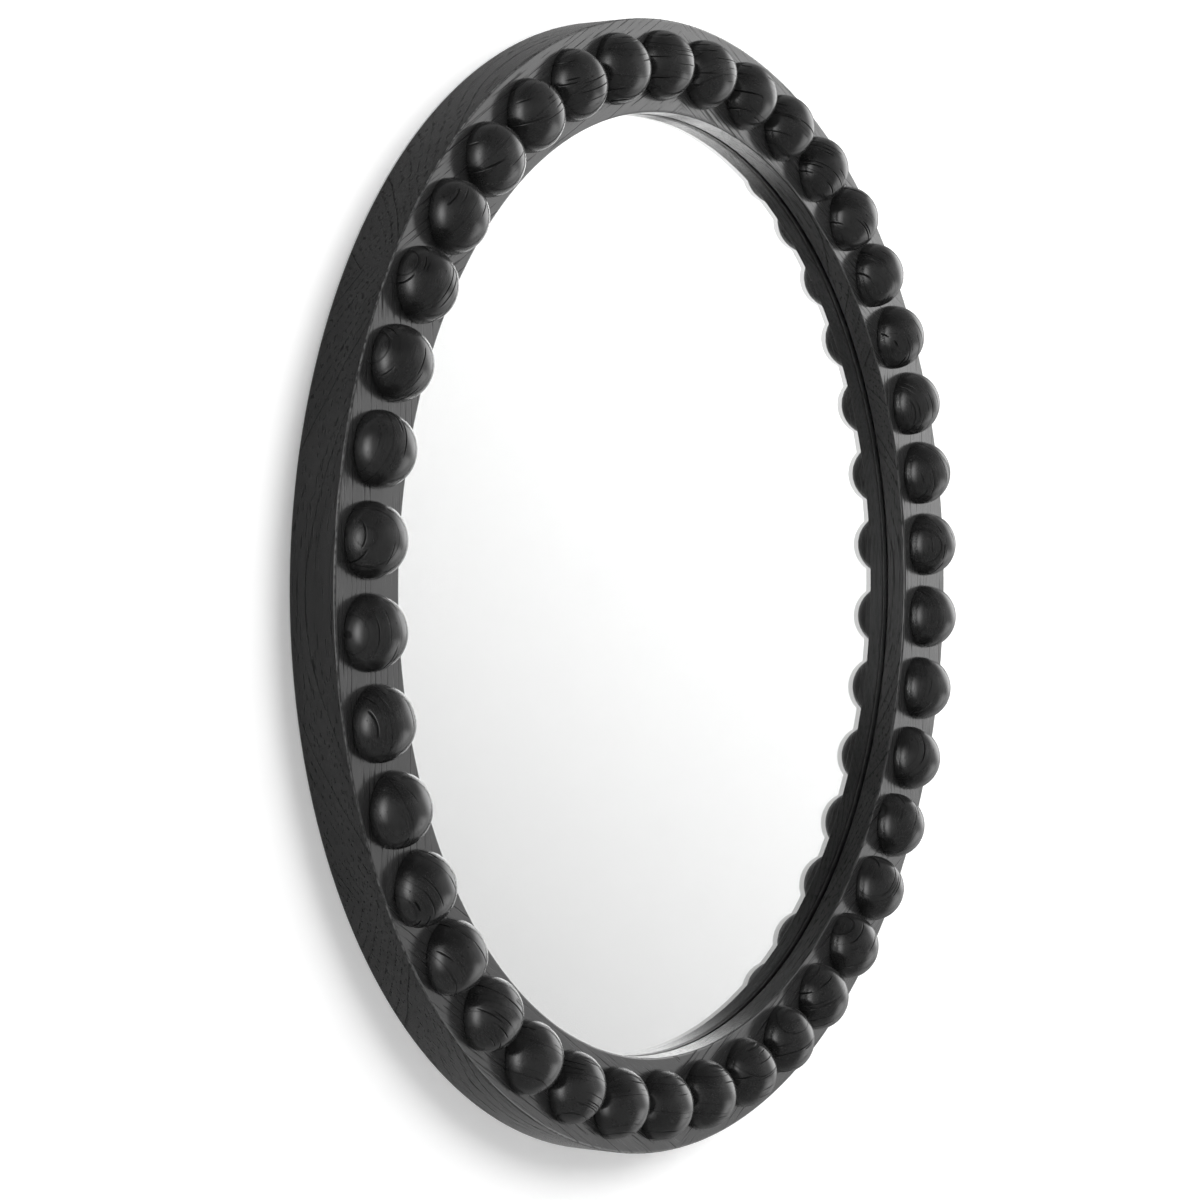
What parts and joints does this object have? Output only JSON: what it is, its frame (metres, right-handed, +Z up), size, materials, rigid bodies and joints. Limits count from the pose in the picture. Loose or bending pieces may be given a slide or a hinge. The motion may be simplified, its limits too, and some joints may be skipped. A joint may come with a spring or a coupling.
{
  "type": "round wall mirror",
  "caption": "Round wall mirror in a black-stained wooden ring frame, its flat face set with a full circle of turned half-beads; recessed glass, hung on two keyhole plates.",
  "frame": {"origin": "midpoint between the two keyhole entries, on the wall plane, which is the back of the ring", "axes": "+Z up on the wall, -Y out of the wall towards the viewer, +X to the right as seen from the front"},
  "size_m": [0.8, 0.061, 0.8],
  "materials": {
    "ring_wood": "satin",
    "bead_wood": "satin",
    "dowel_wood": "matte",
    "tape": "matte",
    "mirror": "polished",
    "board": "matte",
    "button_steel": "satin",
    "plate_steel": "satin",
    "screw_steel": "satin"
  },
  "bodies": {
    "mirror": {"ring_segment_1": "ring_wood", "ring_segment_2": "ring_wood", "ring_segment_3": "ring_wood", "ring_segment_4": "ring_wood", "ring_segment_5": "ring_wood", "ring_segment_6": "ring_wood", "bead_01": "bead_wood", "bead_02": "bead_wood", "bead_03": "bead_wood", "bead_04": "bead_wood", "bead_05": "bead_wood", "bead_06": "bead_wood", "bead_07": "bead_wood", "bead_08": "bead_wood", "bead_09": "bead_wood", "bead_10": "bead_wood", "bead_11": "bead_wood", "bead_12": "bead_wood", "bead_13": "bead_wood", "bead_14": "bead_wood", "bead_15": "bead_wood", "bead_16": "bead_wood", "bead_17": "bead_wood", "bead_18": "bead_wood", "bead_19": "bead_wood", "bead_20": "bead_wood", "bead_21": "bead_wood", "bead_22": "bead_wood", "bead_23": "bead_wood", "bead_24": "bead_wood", "bead_25": "bead_wood", "bead_26": "bead_wood", "bead_27": "bead_wood", "bead_28": "bead_wood", "bead_29": "bead_wood", "bead_30": "bead_wood", "bead_31": "bead_wood", "bead_32": "bead_wood", "bead_33": "bead_wood", "bead_34": "bead_wood", "bead_35": "bead_wood", "bead_36": "bead_wood", "bead_37": "bead_wood", "bead_38": "bead_wood", "bead_39": "bead_wood", "bead_40": "bead_wood", "bead_dowels": "dowel_wood", "segment_tenons": "dowel_wood", "glazing_tape": "tape", "mirror_glass": "mirror", "backing_board": "board", "turn_button_screws": "screw_steel", "hanger_plates": "plate_steel", "hanger_screws": "screw_steel"},
    "turn_button_1": {"turn_button_1": "button_steel"},
    "turn_button_2": {"turn_button_2": "button_steel"},
    "turn_button_3": {"turn_button_3": "button_steel"},
    "turn_button_4": {"turn_button_4": "button_steel"},
    "turn_button_5": {"turn_button_5": "button_steel"},
    "turn_button_6": {"turn_button_6": "button_steel"}
  },
  "joints": [
    {"name": "turn_button_1_pivot", "type": "hinge", "parent": "mirror", "child": "turn_button_1", "pos_m": [0.17688, -0.0065, 0.16363], "axis": [0, 1, 0], "range_deg": [-90, 90]},
    {"name": "turn_button_2_pivot", "type": "hinge", "parent": "mirror", "child": "turn_button_2", "pos_m": [0.35375, -0.0065, -0.14272], "axis": [0, 1, 0], "range_deg": [-90, 90]},
    {"name": "turn_button_3_pivot", "type": "hinge", "parent": "mirror", "child": "turn_button_3", "pos_m": [0.17688, -0.0065, -0.44908], "axis": [0, 1, 0], "range_deg": [-90, 90]},
    {"name": "turn_button_4_pivot", "type": "hinge", "parent": "mirror", "child": "turn_button_4", "pos_m": [-0.17688, -0.0065, -0.44908], "axis": [0, 1, 0], "range_deg": [-90, 90]},
    {"name": "turn_button_5_pivot", "type": "hinge", "parent": "mirror", "child": "turn_button_5", "pos_m": [-0.35375, -0.0065, -0.14272], "axis": [0, 1, 0], "range_deg": [-90, 90]},
    {"name": "turn_button_6_pivot", "type": "hinge", "parent": "mirror", "child": "turn_button_6", "pos_m": [-0.17688, -0.0065, 0.16363], "axis": [0, 1, 0], "range_deg": [-90, 90]}
  ]
}
